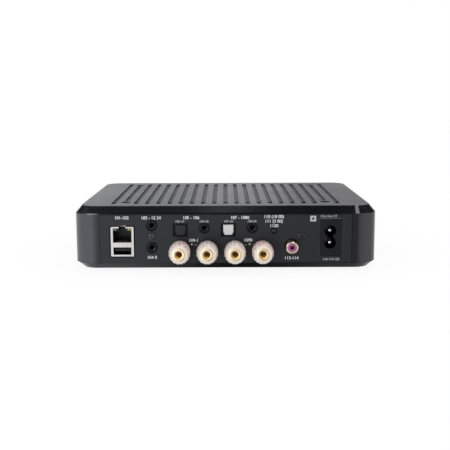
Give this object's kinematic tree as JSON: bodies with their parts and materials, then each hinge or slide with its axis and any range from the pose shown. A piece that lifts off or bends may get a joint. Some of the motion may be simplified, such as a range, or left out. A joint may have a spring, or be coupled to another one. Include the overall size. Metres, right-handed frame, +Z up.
{
  "type": "audio amplifier",
  "caption": "Low black network audio amplifier with a grooved lid, rounded corners, clear screw terminals and a rear panel of audio, network and mains sockets.",
  "frame": {"origin": "on the surface that the feet stand on, in the middle of the whole outline in plan", "axes": "+Z up, +Y towards the socket panel at the rear, -Y towards the fascia, +X to the left seen from behind"},
  "size_m": [0.213, 0.1806, 0.046],
  "materials": {
    "casing_black": "semi-gloss moulded black",
    "panel_black": "fine matt texture, black",
    "fascia_black": "polished black",
    "window_red": "dark red, lets infrared through",
    "light_pipe": "clear frosted",
    "rubber": "matt black",
    "black_screw": "black zinc",
    "bright_screw": "zinc plated",
    "circuit_board": "green lacquer on glass laminate",
    "spacer_brass": "nickel plated",
    "switch_body": "black",
    "core_ferrite": "grey ferrite with yellow tape",
    "heat_sink": "extruded, clear anodised",
    "can_sleeve": "dark sleeve, bright top",
    "chip_epoxy": "black epoxy",
    "tin_can": "tinned sheet",
    "socket_nickel": "bright nickel",
    "socket_black": "moulded black nylon",
    "socket_light": "green and yellow light pipes",
    "contact_gold": "gold plated",
    "shutter_black": "black",
    "shutter_grey": "pale grey",
    "lens_clear": "clear",
    "post_gold": "gold plated",
    "clear_grip": "clear acrylic over a gold plated core",
    "phono_purple": "violet",
    "pin_nickel": "nickel plated",
    "button_black": "satin black",
    "white_print": "white ink, screen printed"
  },
  "bodies": {
    "casing": {"top_cover": "casing_black", "bottom_tray": "casing_black", "rear_panel": "panel_black", "front_fascia": "fascia_black", "status_light": "light_pipe", "ir_window": "window_red", "rubber_feet": "rubber", "cover_screws": "black_screw", "panel_screws": "black_screw", "board_screws": "bright_screw", "main_board": "circuit_board", "supply_board": "circuit_board", "input_board": "circuit_board", "front_board": "circuit_board", "board_spacers": "spacer_brass", "tact_switches": "switch_body", "supply_transformer": "core_ferrite", "supply_heat_sink": "heat_sink", "capacitors": "can_sleeve", "amplifier_chip": "chip_epoxy", "amplifier_heat_sink": "heat_sink", "output_inductors": "core_ferrite", "processor_shield": "tin_can", "processor_chip": "chip_epoxy", "network_usb_shell": "socket_nickel", "network_insert": "socket_black", "network_lights": "socket_light", "usb_tongue": "socket_black", "contact_springs": "contact_gold", "trigger_jack": "socket_black", "infrared_jack": "socket_black", "line_in_jack": "socket_black", "line_out_jack": "socket_black", "optical_in_housing": "socket_black", "optical_out_housing": "socket_black", "optical_lenses": "lens_clear", "post_studs": "post_gold", "post_collars": "clear_grip", "post_nuts": "post_gold", "phono_housing": "socket_black", "phono_shell": "post_gold", "phono_insulator": "phono_purple", "phono_contact": "contact_gold", "mains_inlet": "socket_black", "mains_pins": "pin_nickel"},
    "post_1_clamp": {"post_1_washer": "post_gold"},
    "post_1_knob": {"post_1_knob": "clear_grip"},
    "post_2_clamp": {"post_2_washer": "post_gold"},
    "post_2_knob": {"post_2_knob": "clear_grip"},
    "post_3_clamp": {"post_3_washer": "post_gold"},
    "post_3_knob": {"post_3_knob": "clear_grip"},
    "post_4_clamp": {"post_4_washer": "post_gold"},
    "post_4_knob": {"post_4_knob": "clear_grip"},
    "volume_down_button": {"volume_down_button": "button_black"},
    "play_button": {"play_button": "button_black"},
    "volume_up_button": {"volume_up_button": "button_black"},
    "reset_button": {"reset_button": "button_black"},
    "optical_in_shutter": {"optical_in_shutter": "shutter_black"},
    "optical_out_shutter": {"optical_out_shutter": "shutter_grey"}
  },
  "joints": [
    {"name": "post_1_travel", "type": "slide", "parent": "casing", "child": "post_1_clamp", "axis": [0, 1, 0], "range_m": [0, 0.006]},
    {"name": "post_1_turn", "type": "hinge", "parent": "post_1_clamp", "child": "post_1_knob", "pos_m": [0.03168, 0.0803, 0.0157], "axis": [0, 1, 0], "range_deg": [0, 2160]},
    {"name": "post_2_travel", "type": "slide", "parent": "casing", "child": "post_2_clamp", "axis": [0, 1, 0], "range_m": [0, 0.006]},
    {"name": "post_2_turn", "type": "hinge", "parent": "post_2_clamp", "child": "post_2_knob", "pos_m": [0.01263, 0.0803, 0.0157], "axis": [0, 1, 0], "range_deg": [0, 2160]},
    {"name": "post_3_travel", "type": "slide", "parent": "casing", "child": "post_3_clamp", "axis": [0, 1, 0], "range_m": [0, 0.006]},
    {"name": "post_3_turn", "type": "hinge", "parent": "post_3_clamp", "child": "post_3_knob", "pos_m": [-0.00643, 0.0803, 0.0157], "axis": [0, 1, 0], "range_deg": [0, 2160]},
    {"name": "post_4_travel", "type": "slide", "parent": "casing", "child": "post_4_clamp", "axis": [0, 1, 0], "range_m": [0, 0.006]},
    {"name": "post_4_turn", "type": "hinge", "parent": "post_4_clamp", "child": "post_4_knob", "pos_m": [-0.02548, 0.0803, 0.0157], "axis": [0, 1, 0], "range_deg": [0, 2160]},
    {"name": "volume_down_press", "type": "slide", "parent": "casing", "child": "volume_down_button", "axis": [0, 1, 0], "range_m": [0, 0.0005], "stiffness_N_per_m": 400, "springref_m": -0.001},
    {"name": "play_press", "type": "slide", "parent": "casing", "child": "play_button", "axis": [0, 1, 0], "range_m": [0, 0.0005], "stiffness_N_per_m": 400, "springref_m": -0.001},
    {"name": "volume_up_press", "type": "slide", "parent": "casing", "child": "volume_up_button", "axis": [0, 1, 0], "range_m": [0, 0.0005], "stiffness_N_per_m": 400, "springref_m": -0.001},
    {"name": "reset_press", "type": "slide", "parent": "casing", "child": "reset_button", "axis": [0, -1, 0], "range_m": [0, 0.0005], "stiffness_N_per_m": 400, "springref_m": -0.001},
    {"name": "optical_in_flap", "type": "hinge", "parent": "casing", "child": "optical_in_shutter", "pos_m": [0.0316, 0.0695, 0.0328], "axis": [-1, 0, 0], "range_deg": [0, 80], "stiffness_Nm_per_rad": 0.0002, "springref_deg": -28.65},
    {"name": "optical_out_flap", "type": "hinge", "parent": "casing", "child": "optical_out_shutter", "pos_m": [-0.0019, 0.0695, 0.0328], "axis": [-1, 0, 0], "range_deg": [0, 80], "stiffness_Nm_per_rad": 0.0002, "springref_deg": -28.65}
  ],
  "couplings": [
    {"joint": "post_1_turn", "follows": "post_1_travel", "rad_per_m": 6283},
    {"joint": "post_2_turn", "follows": "post_2_travel", "rad_per_m": 6283},
    {"joint": "post_3_turn", "follows": "post_3_travel", "rad_per_m": 6283},
    {"joint": "post_4_turn", "follows": "post_4_travel", "rad_per_m": 6283}
  ]
}
